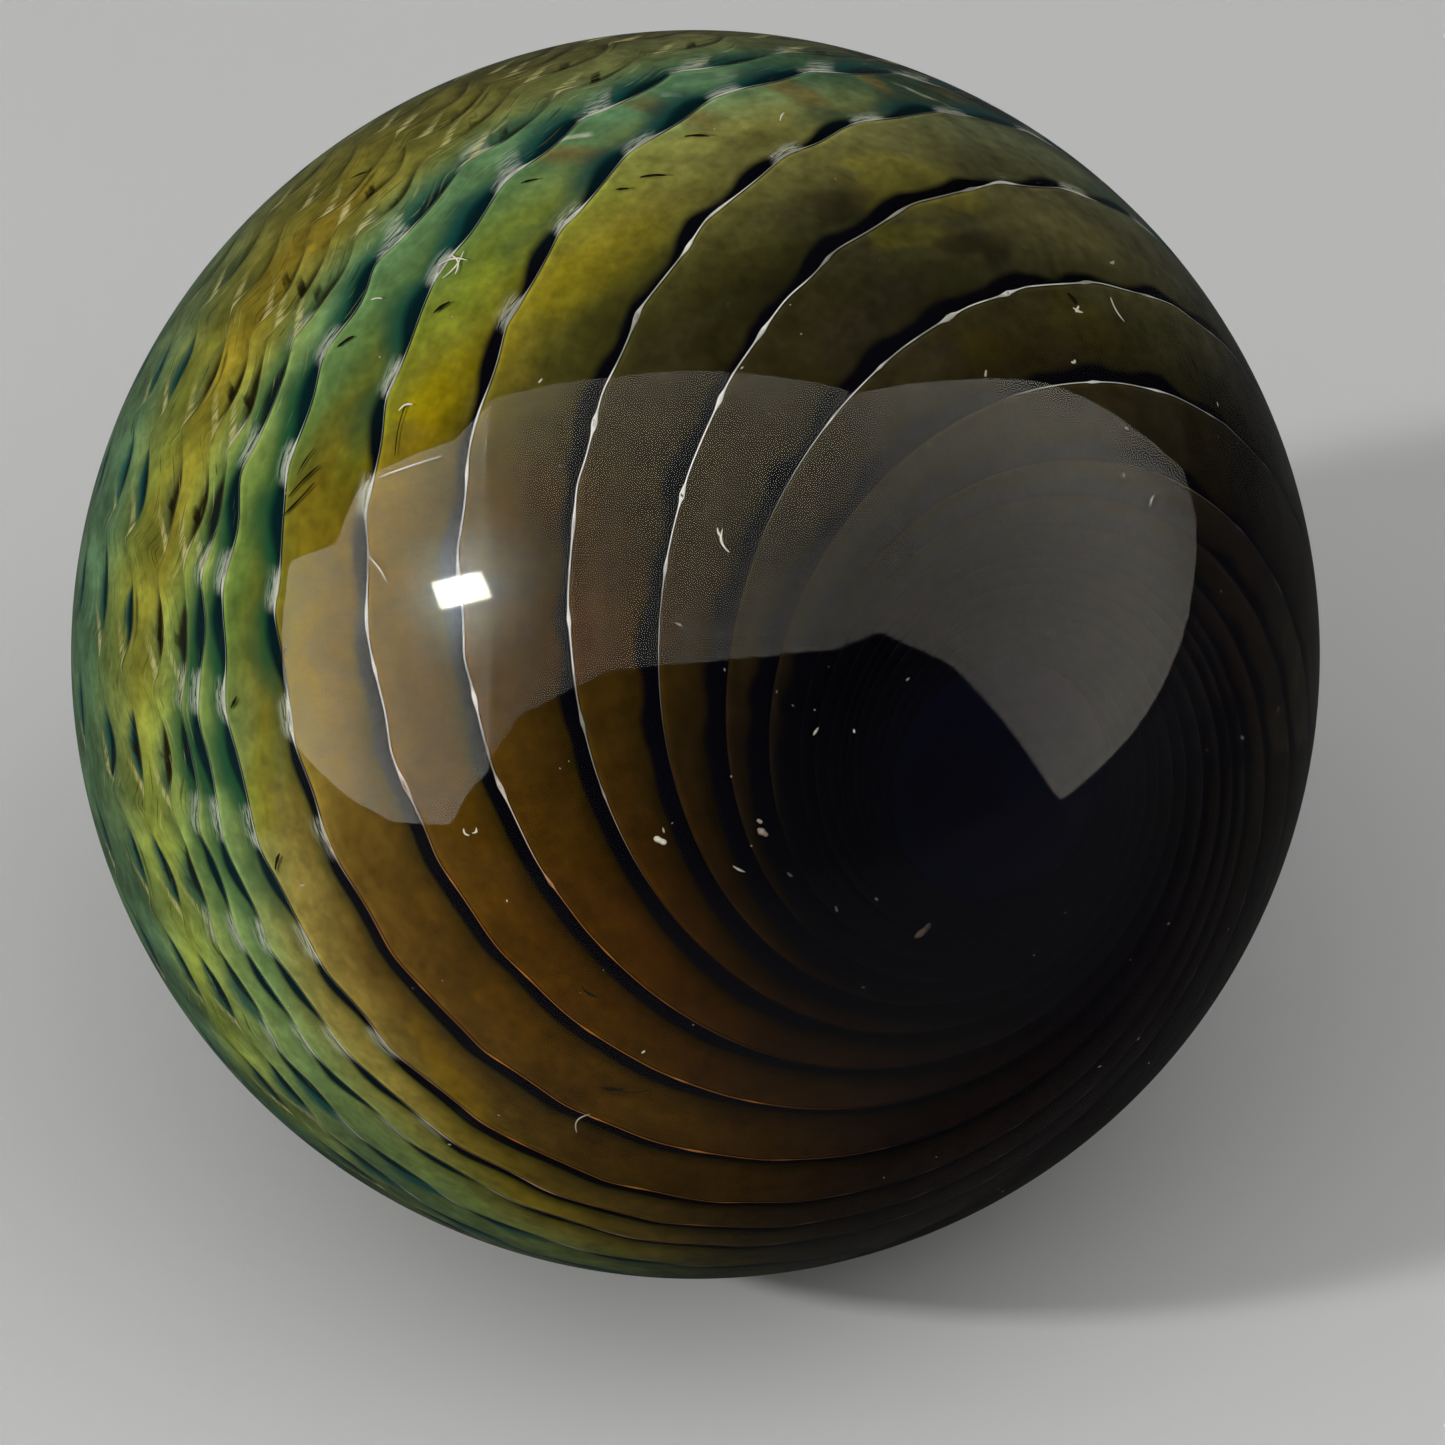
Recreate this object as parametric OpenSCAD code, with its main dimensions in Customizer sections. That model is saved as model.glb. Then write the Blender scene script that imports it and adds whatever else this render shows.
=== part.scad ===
// A round glass marble, solid all the way through.
//
// The ball is one fused body of glass, so it is one solid: a true sphere about the origin.
// Its coloured swirl lies inside the clear glass and never reaches the surface, so no edge,
// seam, flat or hole breaks the round. +Z is up as the marble lies, and the eye of the swirl
// faces forward, to -Y, a little to the +X side and a little upwards.

/* [Ball] */
// Diameter of the ball, over the clear glass
ball_d = 38; // [12:0.5:80]

/* [Hidden] */
// Smoothness of the preview; the built solid is an exact sphere at any value above 12
round_fn = 128;
// Colour of the clear glass over its dark swirl, with how solid it looks
glass_colour = [0.62, 0.60, 0.30, 0.55];

// The whole marble: a plain round ball that rests on any point of itself
module marble() {
    color(glass_colour)
        sphere(d = ball_d, $fn = round_fn);
}

marble();
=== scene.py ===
"""A round glass marble: a clear ball cased over a dark core wrapped in overlapping glass petals.

The petals leave a dark eye at the front, turn about it, and become rows of small scales at the belt.
"""

import logging
import math
from dataclasses import dataclass, field
from enum import Enum
from typing import Any, Mapping, Sequence

import bpy
import numpy as np
from mathutils import Matrix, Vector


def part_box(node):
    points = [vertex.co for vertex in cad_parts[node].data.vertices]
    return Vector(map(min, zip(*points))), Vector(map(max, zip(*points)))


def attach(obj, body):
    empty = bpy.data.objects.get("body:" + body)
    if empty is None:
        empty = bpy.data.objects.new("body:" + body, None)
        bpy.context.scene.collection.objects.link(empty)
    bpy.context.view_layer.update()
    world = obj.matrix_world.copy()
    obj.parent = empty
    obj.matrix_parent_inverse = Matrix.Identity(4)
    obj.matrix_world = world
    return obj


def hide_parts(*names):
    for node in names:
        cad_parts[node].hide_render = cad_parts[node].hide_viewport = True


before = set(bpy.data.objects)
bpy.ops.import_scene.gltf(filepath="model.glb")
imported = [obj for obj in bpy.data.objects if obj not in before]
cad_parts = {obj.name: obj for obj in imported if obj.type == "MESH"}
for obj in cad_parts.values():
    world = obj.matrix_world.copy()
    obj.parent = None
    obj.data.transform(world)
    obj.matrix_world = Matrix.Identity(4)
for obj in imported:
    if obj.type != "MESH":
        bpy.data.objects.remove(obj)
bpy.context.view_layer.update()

log = logging.getLogger("marble")

BODY = "root"
BALL_NODE = "marble"
MM = 0.001
HALF_TURN = 180.0
FULL_TURN = 360.0
Colour = tuple[float, float, float]
Span = tuple[float, float]
Wave = tuple[float, float, float]
Ramp = Mapping[float, Colour]


class Slot(Enum):
    """The record's material slots."""

    CLEAR = "clear_glass"
    SWIRL = "swirl_glass"
    CORE = "core_glass"
    SILVER = "silver_line"


# ---------------------------------------------------------------- maths shared by the pieces


def smooth_rise(x: np.ndarray, start: float, end: float) -> np.ndarray:
    """A smooth step from 0 at start to 1 at end.

    Args:
        x: where to work it out.
        start: below this the result is 0.
        end: above this the result is 1.

    Returns:
        3t^2 - 2t^3, with t the share of the way from start to end.
    """
    t = np.clip((x - start) / (end - start), 0.0, 1.0)
    return t * t * (3.0 - 2.0 * t)


def unit(vector: Sequence[float]) -> np.ndarray:
    """The vector scaled to length 1."""
    v = np.asarray(vector, float)
    return v / np.linalg.norm(v)


def heading(azimuth: float, elevation: float) -> np.ndarray:
    """The unit vector at an azimuth, in degrees from the front toward +X, and an elevation above level."""
    a, e = math.radians(azimuth), math.radians(elevation)
    return np.array([math.cos(e) * math.sin(a), -math.cos(e) * math.cos(a), math.sin(e)])


@dataclass(frozen=True)
class Twist:
    """How far an edge has turned about the eye at each angle from the eye, in degrees.

    The turn falls as the edge runs outward. Its rate is a steady part, a fast wind that dies away from
    the eye, a hump where the belt of scales starts, a little more behind the belt, and a last fast wind
    that draws the edges together at the tail.
    """

    steady: float = 2.62
    eye_wind: float = 160.0
    eye_fade: float = 8.0
    belt_wind: float = 2.4
    belt_at: float = 83.4
    belt_width: float = 5.2
    back_wind: float = 1.2
    back_at: float = 88.0
    back_width: float = 12.0
    tail_wind: float = 60.0
    tail_fade: float = 6.0
    zero_at: float = 60.0
    first: float = 5.0
    last: float = 179.0
    steps: int = 6000

    def turn(self, polar: np.ndarray) -> np.ndarray:
        """The turn at each polar angle: minus the integral of the rate, zero at zero_at.

        Args:
            polar: the angles from the eye.

        Returns:
            The turns.
        """

        def wound(p: np.ndarray | float) -> np.ndarray:
            """The integral of the rate up to p, but for a constant.

            Args:
                p: an angle from the eye, or several.

            Returns:
                The sum of each part's own integral: a line, an exponential, a tanh and a log of a cosh.
            """
            fast = -self.eye_wind * self.eye_fade * np.exp(-p / self.eye_fade)
            belt = self.belt_wind * self.belt_width * np.tanh((p - self.belt_at) / self.belt_width)
            soft = self.back_width * np.log(np.cosh((p - self.back_at) / self.back_width))
            tail = self.tail_wind * self.tail_fade * np.exp((p - HALF_TURN) / self.tail_fade)
            return self.steady * p + fast + belt + self.back_wind * (p + soft) / 2.0 + tail

        return wound(self.zero_at) - wound(polar)

    def polar(self, turn: np.ndarray) -> np.ndarray:
        """The polar angle at which an edge has the turn, by looking the formula up backwards."""
        p = np.linspace(self.first, self.last, self.steps)
        return np.interp(-turn, -self.turn(p), p)


@dataclass(frozen=True)
class Scallops:
    """The arches of a petal's edge, in degrees: low ripples, full scales at the belt, and less at the tail.

    A wave is its size, how many there are in a turn about the eye, and its shift from petal to petal.
    """

    ripple: float = 0.5
    ripple_start: Span = (35.0, 65.0)
    scale: float = 2.7
    scale_at: float = 87.5
    scale_width: float = 5.0
    tail_calm: float = 0.9
    tail_start: Span = (142.0, 168.0)
    foot: float = 0.5
    foot_loss: float = 0.36
    foot_start: Span = (74.0, 98.0)
    power: float = 0.36
    middle: float = 0.55
    height_waves: tuple[Wave, ...] = ((0.2, 13.0, 2.4), (0.1, 37.0, 1.1))
    slip_waves: tuple[Wave, ...] = ((0.9, 9.0, 1.7), (0.5, 23.0, 2.9))

    def height(self, polar: np.ndarray) -> np.ndarray:
        """How high the arches stand at a polar angle: the ripples and the scales, calmed at the tail."""
        ripple = self.ripple * smooth_rise(polar, *self.ripple_start)
        scale = self.scale / (1.0 + np.exp(-(polar - self.scale_at) / self.scale_width))
        return (ripple + scale) * (1.0 - self.tail_calm * smooth_rise(polar, *self.tail_start))

    def arch(self, rib: np.ndarray, polar: np.ndarray) -> np.ndarray:
        """One arch for each rib, 0 at the cusps and 1 at the top.

        Args:
            rib: the place in the rib, from 0 to 1.
            polar: the polar angle of the edge.

        Returns:
            A power of the sine squared, rounded at the foot, and brought to run from 0 to 1.
        """
        foot = self.foot - self.foot_loss * smooth_rise(polar, *self.foot_start)
        wave = np.sin(np.pi * rib) ** 2
        low, high = (foot**2) ** self.power, (1.0 + foot**2) ** self.power
        return ((wave + foot**2) ** self.power - low) / (high - low)

    @staticmethod
    def wavering(waves: Sequence[Wave], arm: int, spin: np.ndarray) -> np.ndarray:
        """The sum of some waves along a petal's edge."""
        turn = np.radians(spin)
        return sum(size * np.sin(count * turn + shift * arm) for size, count, shift in waves)


@dataclass(frozen=True)
class Swirl:
    """Where the petals lie on the ball: polar angle from the eye, and spin about it, in degrees."""

    eye_azimuth: float = 32.2
    eye_elevation: float = 22.7
    zero_azimuth: float = 0.0
    zero_elevation: float = 50.0
    twist: Twist = field(default_factory=Twist)
    starts: tuple[float, ...] = (-81, -44, -7, 26, 59, 87, 117, 142, 158, 172, 193, 218, 242)
    ribs: int = 31
    rib_start: float = 12.0
    scallops: Scallops = field(default_factory=Scallops)
    first_polar: float = 10.0
    last_polar: float = 173.5
    finer: int = 4

    def axes(self) -> tuple[np.ndarray, np.ndarray, np.ndarray]:
        """The ball's own axes, for polar angle and spin.

        Returns:
            The eye's direction, the direction of zero spin, and the third axis that makes the set.
        """
        eye = heading(self.eye_azimuth, self.eye_elevation)
        up = -heading(self.zero_azimuth, -self.zero_elevation)
        zero = unit(up - eye * (up @ eye))
        return eye, zero, np.cross(eye, zero)

    def points(self, polar: np.ndarray, spin: np.ndarray, radius: np.ndarray) -> np.ndarray:
        """Places on the ball.

        Args:
            polar: angle from the eye.
            spin: angle about the eye.
            radius: distance from the ball's centre, in metres.

        Returns:
            radius times (cos polar eye + sin polar (cos spin zero + sin spin third)).
        """
        eye, zero, third = self.axes()
        p, s = np.radians(polar)[..., None], np.radians(spin)[..., None]
        side = np.cos(s) * zero + np.sin(s) * third
        return np.asarray(radius)[..., None] * (np.cos(p) * eye + np.sin(p) * side)

    def rib(self, spin: np.ndarray) -> np.ndarray:
        """Which part of a scale a spin lies in, from 0 at one cusp to 1 at the next."""
        return np.mod((spin - self.rib_start) * self.ribs / FULL_TURN, 1.0)

    def edge(self, arm: int, spin: np.ndarray) -> np.ndarray:
        """The polar angle of an edge before its scallops."""
        return self.twist.polar(spin - self.starts[arm])

    def lip(self, arm: int, spin: np.ndarray) -> np.ndarray:
        """The polar angle of an edge with its scallops, whose tops reach toward the eye.

        No two scallops are quite alike: slow waves along the edge change their height and place.

        Args:
            arm: which petal.
            spin: the spins along its edge.

        Returns:
            The edge's polar angle, plus the scallops' height times the middle less the arch.
        """
        polar, shape = self.edge(arm, spin), self.scallops
        height = 1.0 + shape.wavering(shape.height_waves, arm, spin)
        arch = shape.arch(self.rib(spin + shape.wavering(shape.slip_waves, arm, spin)), polar)
        return polar + shape.height(polar) * height * (shape.middle - arch)

    def marks(self, spin: np.ndarray) -> dict[str, np.ndarray]:
        """What the shaders read of a spin, as waves, which stay smooth where the turn starts again.

        Args:
            spin: the spins.

        Returns:
            The cosine and sine of the spin, and of the place in the scale.
        """
        turn, rib = np.radians(spin), 2.0 * np.pi * self.rib(spin)
        return {
            "spin_cos": np.cos(turn),
            "spin_sin": np.sin(turn),
            "rib_cos": np.cos(rib),
            "rib_sin": np.sin(rib),
        }

    def stations(self, arm: int, count: int) -> np.ndarray:
        """Spins along an edge from back to eye, an equal arc apart, looked up on a finer run of them.

        Args:
            arm: which petal.
            count: how many spins.

        Returns:
            The spins.
        """
        p = np.linspace(self.last_polar, self.first_polar, self.finer * count)
        spin = self.starts[arm] + self.twist.turn(p)
        step = np.hypot(np.diff(np.radians(p)), np.sin(np.radians(p[1:])) * np.diff(np.radians(spin)))
        run = np.concatenate([[0.0], np.cumsum(step)])
        return np.interp(np.linspace(0.0, run[-1], count), run, spin)


# ---------------------------------------------------------------- meshes


def sleeve(
    name: str,
    rings: np.ndarray,
    attributes: Mapping[str, np.ndarray] | None = None,
    tips: np.ndarray | None = None,
) -> bpy.types.Object:
    """A closed mesh from a row of rings, with a tip that closes each end.

    Args:
        name: the piece's name.
        rings: places, as rings by places in a ring by 3.
        attributes: for each name a number per place in the rings; a tip takes its ring's mean.
        tips: the first and the last tip, where they aren't the middles of the end rings.

    Returns:
        The object, at the origin, with its faces outward and shaded smooth.
    """
    if tips is None:
        tips = np.array([rings[0].mean(0), rings[-1].mean(0)])
    rows, cols = rings.shape[:2]
    places = np.vstack([rings.reshape(-1, 3), tips])
    index = np.arange(rows * cols).reshape(rows, cols)
    ahead = np.roll(index, -1, axis=1)
    walls = np.stack([index[:-1], ahead[:-1], ahead[1:], index[1:]], -1).reshape(-1, 4)
    start = np.stack([np.full(cols, rows * cols), ahead[0], index[0]], -1)
    end = np.stack([np.full(cols, rows * cols + 1), index[-1], ahead[-1]], -1)
    corners = np.vstack([walls[:, [0, 1, 2]], walls[:, [0, 2, 3]], start, end])
    a, b, c = (places[corners[:, k]] for k in range(3))
    if np.einsum("ij,ij->i", a, np.cross(b, c)).sum() < 0:
        walls, start, end = walls[:, ::-1], start[:, ::-1], end[:, ::-1]
    mesh = bpy.data.meshes.new(name)
    mesh.from_pydata(places.tolist(), [], walls.tolist() + start.tolist() + end.tolist())
    mesh.shade_smooth()
    for key, values in (attributes or {}).items():
        flat = np.concatenate([values.ravel(), [values[0].mean(), values[-1].mean()]])
        mesh.attributes.new(key, "FLOAT", "POINT").data.foreach_set("value", flat.astype(np.float32))
    return linked(name, mesh)


def linked(name: str, data: bpy.types.ID) -> bpy.types.Object:
    """An object in the scene, at the origin, for a mesh, a lamp or a camera."""
    made = bpy.data.objects.new(name, data)
    bpy.context.scene.collection.objects.link(made)
    return made


def joined(name: str, parts: Sequence[bpy.types.Object]) -> bpy.types.Object:
    """One object from several, with their meshes put end to end.

    Args:
        name: the new piece's name.
        parts: the objects, which are used up.

    Returns:
        The joined object.
    """
    first = parts[0]
    with bpy.context.temp_override(active_object=first, selected_editable_objects=list(parts)):
        bpy.ops.object.join()
    first.name = name
    first.data.name = name
    return first


def round_turn(count: int, whole: float = 2.0 * math.pi) -> np.ndarray:
    """Equal steps once round, as a row that stops short of the place where it began."""
    return np.linspace(0.0, whole, count, endpoint=False)[None, :]


def hand_over(piece: bpy.types.Object, material: bpy.types.Material) -> bpy.types.Object:
    """Dresses a piece and sets it on the ball's body.

    Args:
        piece: the object.
        material: what it is dressed in.

    Returns:
        The same object.
    """
    piece.data.materials.clear()
    piece.data.materials.append(material)
    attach(piece, BODY)
    return piece


# ---------------------------------------------------------------- shader maths


@dataclass(frozen=True)
class Wire:
    """One output of a node, on which Python's operators add Math nodes."""

    tree: "Paint"
    socket: bpy.types.NodeSocket

    def __add__(self, other: "Wire | float") -> "Wire":
        """Sum."""
        return self.tree.math("ADD", self, other)

    __radd__ = __add__

    def __sub__(self, other: "Wire | float") -> "Wire":
        """Difference."""
        return self.tree.math("SUBTRACT", self, other)

    def __rsub__(self, other: float) -> "Wire":
        """Difference from a number."""
        return self.tree.math("SUBTRACT", other, self)

    def __mul__(self, other: "Wire | float") -> "Wire":
        """Product."""
        return self.tree.math("MULTIPLY", self, other)

    __rmul__ = __mul__

    def __truediv__(self, other: "Wire | float") -> "Wire":
        """Quotient."""
        return self.tree.math("DIVIDE", self, other)


@dataclass(frozen=True)
class Grain:
    """Cloudy noise: how many clouds to a unit, how many finer layers, and how rough and warped they are."""

    scale: float
    detail: float = 3.0
    rough: float = 0.5
    warp: float = 0.0


class Paint:
    """The nodes of a material, built up from Python."""

    MIX_COLOURS = (6, 7)
    MIX_RESULT = 2

    def __init__(self, name: str) -> None:
        """Starts a new material with no nodes.

        Args:
            name: the material's name.
        """
        self.material = bpy.data.materials.new(name)
        self.material.use_nodes = True
        self.nodes = self.material.node_tree.nodes
        self.links = self.material.node_tree.links
        self.nodes.clear()

    def node(
        self, kind: str, settings: Mapping[str, Any] | None = None, inputs: Mapping[Any, Any] | None = None
    ) -> bpy.types.Node:
        """One node.

        Args:
            kind: the node's type.
            settings: its own settings, set first; stops gives a ramp's places and colours.
            inputs: for each socket, by name or number, a value or a wire.

        Returns:
            The node.
        """
        made = self.nodes.new(kind)
        for key, value in (settings or {}).items():
            if key == "stops":
                self._set_stops(made.color_ramp.elements, value)
            else:
                setattr(made, key, value)
        for key, value in (inputs or {}).items():
            if isinstance(value, Wire):
                self.links.new(value.socket, made.inputs[key])
            else:
                made.inputs[key].default_value = value
        return made

    @staticmethod
    def _set_stops(elements: Any, stops: Sequence[tuple[float, Sequence[float]]]) -> None:
        """Gives a ramp its stops, in order.

        Args:
            elements: the ramp's stops, of which there are two to begin with.
            stops: for each stop its place from 0 to 1 and its colour.
        """
        while len(elements) < len(stops):
            elements.new(1.0)
        for element, (place, colour) in zip(elements, stops):
            element.position = place
            element.color = (*colour, 1.0)

    def wire(self, made: bpy.types.Node, output: Any = 0) -> Wire:
        """A node's output as a wire."""
        return Wire(self, made.outputs[output])

    def math(self, operation: str, first: Wire | float, second: Wire | float = 0.0) -> Wire:
        """A Math node's result."""
        return self.wire(self.node("ShaderNodeMath", {"operation": operation}, {0: first, 1: second}))

    def rise(self, value: Wire, start: float, end: float) -> Wire:
        """A smooth step from 0 at start to 1 at end.

        Args:
            value: what is compared.
            start: where the step begins, which may be the larger.
            end: where it is over.

        Returns:
            The step's height at the value.
        """
        low, high, flip = (start, end, False) if start < end else (end, start, True)
        made = self.node(
            "ShaderNodeMapRange",
            {"interpolation_type": "SMOOTHSTEP"},
            {
                "Value": value,
                "From Min": low,
                "From Max": high,
                "To Min": float(flip),
                "To Max": float(not flip),
            },
        )
        return self.wire(made)

    def steps(self, value: Wire, *spans: Span) -> Wire:
        """The product of a smooth step over each span, which marks where a value lies.

        Args:
            value: what is compared.
            spans: where each step begins and where it is over.

        Returns:
            A number from 0 to 1.
        """
        mask = self.rise(value, *spans[0])
        for span in spans[1:]:
            mask = mask * self.rise(value, *span)
        return mask

    def attribute(self, name: str) -> Wire:
        """A number that the mesh carries."""
        made = self.node("ShaderNodeAttribute", {"attribute_type": "GEOMETRY", "attribute_name": name})
        return self.wire(made, "Fac")

    def spin(self) -> Wire:
        """The spin about the eye in degrees, from -90 to 270, from the waves that the mesh carries."""
        turn = self.math("ARCTAN2", -1.0 * self.attribute("spin_cos"), self.attribute("spin_sin"))
        return turn * math.degrees(1.0) + 90.0

    def near_rib(self, phase: float) -> Wire:
        """A wave along the scales that is 1 at one place in each and -1 half a scale away."""
        turn = 2.0 * math.pi * phase
        return self.attribute("rib_cos") * math.cos(turn) + self.attribute("rib_sin") * math.sin(turn)

    def leaning(self, phase: float, lean: Wire) -> Wire:
        """A wave like near_rib's whose place moves along the scales.

        Args:
            phase: where the wave is 1, as a share of a scale.
            lean: how far that moves, as a share of a scale.

        Returns:
            The wave: the cosine of the angle between the two, by the rule for a difference.
        """
        turn = (lean + phase) * (2.0 * math.pi)
        across, along = self.math("COSINE", turn), self.math("SINE", turn)
        return self.attribute("rib_cos") * across + self.attribute("rib_sin") * along

    def place(self) -> Wire:
        """The piece's own coordinates, in metres."""
        return self.wire(self.node("ShaderNodeTexCoord"), "Object")

    def flow(self, across: Wire, factors: Span) -> Wire:
        """A place along the petal and across it, each times a factor, which pulls noise into threads."""
        inputs = {"X": self.attribute("run") * factors[0], "Y": across * factors[1]}
        return self.wire(self.node("ShaderNodeCombineXYZ", {}, inputs))

    def noise(self, where: Wire, grain: Grain) -> Wire:
        """Cloudy noise.

        Args:
            where: the place that it is looked up at.
            grain: how it looks.

        Returns:
            A number from 0 to 1.
        """
        inputs = {
            "Vector": where,
            "Scale": grain.scale,
            "Detail": grain.detail,
            "Roughness": grain.rough,
            "Distortion": grain.warp,
        }
        return self.wire(self.node("ShaderNodeTexNoise", {}, inputs), "Fac")

    def ramp(self, value: Wire, stops: Sequence[tuple[float, Colour]]) -> Wire:
        """A colour looked up on a ramp."""
        return self.wire(self.node("ShaderNodeValToRGB", {"stops": stops}, {"Fac": value}), "Color")

    def blend(
        self, share: Wire | float, first: Wire | Colour, second: Wire | Colour, kind: str = "MIX"
    ) -> Wire:
        """Two colours mixed: first where share is 0, second where it is 1.

        Args:
            share: how much of the second colour.
            first: a colour.
            second: a colour.
            kind: how the second is laid on the first.

        Returns:
            The mixed colour.
        """
        pair = [c if isinstance(c, Wire) else (*c, 1.0) for c in (first, second)]
        inputs = {"Factor": share, **dict(zip(self.MIX_COLOURS, pair))}
        made = self.node("ShaderNodeMix", {"data_type": "RGBA", "blend_type": kind}, inputs)
        return self.wire(made, self.MIX_RESULT)

    def scaled(self, colour: Wire, factors: Wire | Colour) -> Wire:
        """A colour times three factors."""
        return self.blend(1.0, colour, factors, "MULTIPLY")

    def bump(self, height: Wire, depth: float) -> Wire:
        """A normal from a height from 0 to 1 that stands for depth metres."""
        return self.wire(self.node("ShaderNodeBump", {}, {"Height": height, "Distance": depth}))

    def finish(self, inputs: Mapping[str, Any]) -> bpy.types.Material:
        """Closes the material with a Principled shader.

        Args:
            inputs: the shader's sockets.

        Returns:
            The material.
        """
        return self.close(self.node("ShaderNodeBsdfPrincipled", {}, inputs))

    def close(self, shader: bpy.types.Node) -> bpy.types.Material:
        """Closes the material with the shader that gives its surface."""
        self.node("ShaderNodeOutputMaterial", {}, {"Surface": self.wire(shader)})
        return self.material


def linear(red: float, green: float, blue: float) -> Colour:
    """A colour as a screen writes it, from 0 to 255, as the shader's linear numbers."""
    shares = (c / 255.0 for c in (red, green, blue))
    return tuple(c / 12.92 if c <= 0.04045 else ((c + 0.055) / 1.055) ** 2.4 for c in shares)


def polar_stops(stops: Mapping[float, Colour]) -> list[tuple[float, Colour]]:
    """Ramp stops at polar angles in degrees, with colours as a screen writes them."""
    return [(polar / HALF_TURN, linear(*colour)) for polar, colour in stops.items()]


# ---------------------------------------------------------------- finishes


@dataclass(frozen=True)
class ClearGlass:
    """Clear, polished glass, which mirrors less of the room at its rim than bare glass."""

    ior: float = 1.47
    sheen: float = 0.1
    rim_start: float = 0.1
    rim_full: float = 0.5
    rim_calm: float = 0.93

    def material(self) -> bpy.types.Material:
        """Plain glass, mixed toward glass that only bends light where it is seen aslant.

        Returns:
            The material.
        """
        paint = Paint("clear_glass")
        white = (1.0, 1.0, 1.0, 1.0)
        glass = paint.node(
            "ShaderNodeBsdfPrincipled",
            {},
            {
                "Base Color": white,
                "Roughness": 0.0,
                "IOR": self.ior,
                "Transmission Weight": 1.0,
                "Specular Tint": (self.sheen, self.sheen, self.sheen, 1.0),
            },
        )
        bend = paint.node("ShaderNodeBsdfRefraction", {}, {"Color": white, "Roughness": 0.0, "IOR": self.ior})
        aslant = paint.wire(paint.node("ShaderNodeLayerWeight"), "Facing")
        calm = paint.rise(aslant, self.rim_start, self.rim_full) * self.rim_calm
        both = {0: calm, 1: paint.wire(glass), 2: paint.wire(bend)}
        return paint.close(paint.node("ShaderNodeMixShader", {}, both))


@dataclass(frozen=True)
class Stain:
    """A cloud of colour in the petals.

    Its place is a spin and a polar angle, with a half width in each. Its colour is three factors, by which
    it multiplies the glass's, and its share is how much of it shows.
    """

    spin: float
    polar: float
    wide: float
    high: float
    colour: Colour
    share: float


BELOW: Ramp = {120: (84, 112, 88), 140: (122, 116, 58), 158: (70, 62, 38), 172: (20, 16, 22)}

# The ramps at spins 186, 222 and -55 are darker than the rest: the glass's own colour with painted shade of
# the sides away from the key light.
SIDES: tuple[tuple[float, Ramp], ...] = (
    (-55.0, {
        14: (8, 7, 13), 24: (20, 16, 16), 36: (30, 24, 20), 44: (23, 19, 18), 52: (27, 24, 22),
        60: (31, 29, 27), 68: (36, 34, 33), 76: (33, 36, 33), 86: (40, 50, 44), 96: (60, 64, 42),
    }),
    (-18.0, {
        14: (8, 7, 13), 24: (27, 23, 17), 34: (48, 40, 22), 42: (52, 44, 22), 50: (66, 63, 36),
        58: (98, 94, 58), 65: (92, 90, 62), 72: (104, 110, 80), 79: (30, 38, 32), 86: (24, 32, 26),
        95: (62, 62, 40), 106: (66, 66, 38),
    }),
    (12.0, {
        14: (8, 7, 13), 24: (27, 23, 16), 34: (46, 40, 22), 42: (54, 47, 23), 50: (48, 45, 22),
        57: (80, 78, 38), 64: (116, 111, 60), 71: (152, 150, 82), 78: (104, 144, 104), 84: (92, 129, 94),
        90: (134, 140, 90), 97: (98, 94, 50), 106: (66, 66, 30),
    }),
    (44.0, {
        14: (8, 7, 12), 24: (26, 21, 14), 34: (48, 42, 22), 44: (50, 44, 21), 52: (54, 49, 25),
        59: (78, 74, 28), 65: (138, 126, 34), 71: (130, 142, 45), 77: (88, 118, 66), 84: (110, 149, 102),
        90: (138, 134, 60), 98: (128, 118, 46), 108: (118, 114, 54),
    }),
    (78.0, {
        14: (8, 6, 12), 24: (20, 15, 12), 31: (38, 27, 11), 38: (58, 41, 10), 46: (68, 48, 14),
        54: (90, 66, 16), 61: (104, 84, 24), 67: (122, 96, 18), 73: (122, 108, 26), 79: (96, 120, 52),
        85: (162, 182, 92), 91: (158, 148, 52), 98: (142, 150, 64), 106: (104, 142, 106),
    }),
    (118.0, {
        14: (7, 5, 12), 23: (13, 9, 8), 29: (36, 21, 4), 36: (64, 37, 2), 43: (70, 43, 2),
        50: (86, 57, 3), 57: (90, 64, 15), 63: (106, 80, 26), 70: (160, 142, 70), 77: (130, 160, 98),
        84: (148, 168, 92), 90: (168, 184, 82), 97: (96, 130, 98), 106: (84, 118, 86),
    }),
    (152.0, {
        14: (6, 5, 14), 24: (13, 8, 10), 31: (34, 19, 5), 38: (52, 31, 4), 46: (72, 48, 5),
        53: (67, 46, 10), 60: (84, 66, 22), 67: (124, 108, 26), 74: (116, 134, 72), 81: (72, 96, 66),
        86: (96, 114, 72), 91: (66, 84, 58), 100: (58, 98, 86),
    }),
    (186.0, {
        14: (8, 7, 18), 24: (12, 8, 13), 32: (24, 15, 13), 42: (33, 23, 19), 54: (28, 21, 18),
        64: (32, 28, 16), 74: (30, 31, 20), 84: (52, 66, 50), 94: (80, 88, 50), 106: (80, 102, 78),
    }),
    (222.0, {
        14: (9, 8, 18), 24: (13, 9, 18), 34: (20, 14, 18), 44: (26, 20, 23), 54: (19, 14, 15),
        64: (20, 17, 15), 76: (40, 44, 36), 88: (66, 72, 48), 100: (76, 94, 70),
    }),
)

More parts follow.
